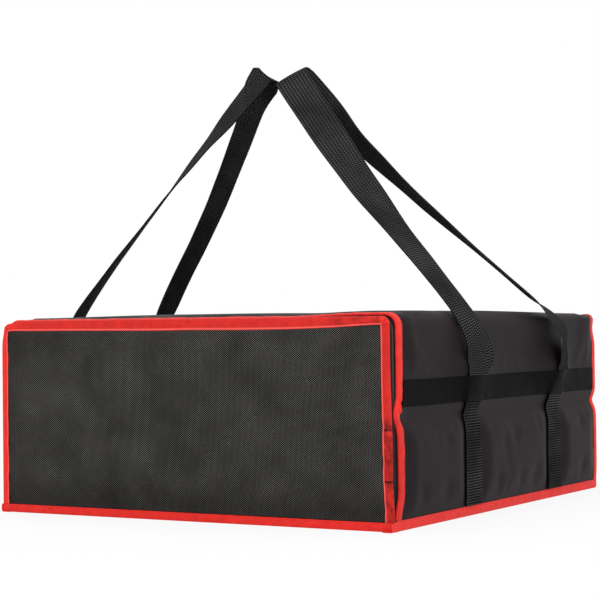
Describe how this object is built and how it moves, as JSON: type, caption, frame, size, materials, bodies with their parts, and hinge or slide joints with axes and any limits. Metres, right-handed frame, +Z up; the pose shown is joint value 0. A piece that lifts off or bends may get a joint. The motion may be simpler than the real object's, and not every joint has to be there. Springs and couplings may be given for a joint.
{
  "type": "pizza delivery bag",
  "caption": "Insulated square-sided delivery bag with a zipped front flap, red bound edges, a foil lining and webbing carry handles held up over the top.",
  "frame": {"origin": "middle of the bag's underside, where it stands", "axes": "+Z up, -Y towards the zipped front flap, +X to the right side as seen from the front"},
  "size_m": [0.5517, 0.56, 0.5186],
  "materials": {
    "coated_cloth": "matt coated woven cloth",
    "flap_cloth": "matt cloth with a fine embossed weave",
    "foam": "closed cell foam",
    "foil_lining": "bright foil film",
    "binding_tape": "satin folded tape",
    "webbing": "ribbed webbing",
    "ribbon": "satin ribbon",
    "zip_tape": "woven tape",
    "zip_plastic": "moulded plastic",
    "slider_metal": "black painted die cast metal"
  },
  "bodies": {
    "bag_body": {"wrap_shell": "coated_cloth", "back_shell": "coated_cloth", "base_shell": "coated_cloth", "wrap_foam": "foam", "back_foam": "foam", "base_foam": "foam", "wrap_lining": "foil_lining", "back_lining": "foil_lining", "base_lining": "foil_lining", "mouth_binding": "binding_tape", "back_binding": "binding_tape", "base_binding_left": "binding_tape", "base_binding_right": "binding_tape", "sill_binding": "binding_tape", "zip_tape_body": "zip_tape", "zip_teeth_body": "zip_plastic", "zip_stop_left": "zip_plastic", "strap_left_front": "webbing", "strap_left_rear": "webbing", "strap_right_front": "webbing", "strap_right_rear": "webbing", "side_band_left": "ribbon", "side_band_right": "ribbon"},
    "front_flap": {"flap_shell": "flap_cloth", "flap_foam": "foam", "flap_lining": "foil_lining", "flap_binding": "binding_tape", "zip_tape_flap": "zip_tape", "zip_teeth_flap": "zip_plastic"},
    "zip_slider": {"zip_slider": "slider_metal"},
    "zip_pull": {"zip_pull": "slider_metal"},
    "handle_left": {"handle_left": "webbing"},
    "handle_right": {"handle_right": "webbing"}
  },
  "joints": [
    {"name": "flap_hinge", "type": "hinge", "parent": "bag_body", "child": "front_flap", "pos_m": [0, -0.28, 0.0095], "axis": [1, 0, 0], "range_deg": [0, 92]},
    {"name": "zip_slide", "type": "slide", "parent": "bag_body", "child": "zip_slider", "axis": [0, 0, 1], "range_m": [0, 0.14], "deforming": ["zip_teeth_body", "zip_teeth_flap"]},
    {"name": "pull_swing", "type": "hinge", "parent": "zip_slider", "child": "zip_pull", "pos_m": [-0.256, -0.2727, 0.047], "axis": [0, 1, 0], "range_deg": [0, 170]},
    {"name": "handle_right_swing", "type": "hinge", "parent": "bag_body", "child": "handle_right", "pos_m": [0.258, 0, 0.154], "axis": [0, 1, 0], "range_deg": [0, 140]},
    {"name": "handle_left_swing", "type": "hinge", "parent": "bag_body", "child": "handle_left", "pos_m": [-0.258, 0, 0.154], "axis": [0, -1, 0], "range_deg": [0, 140]}
  ]
}
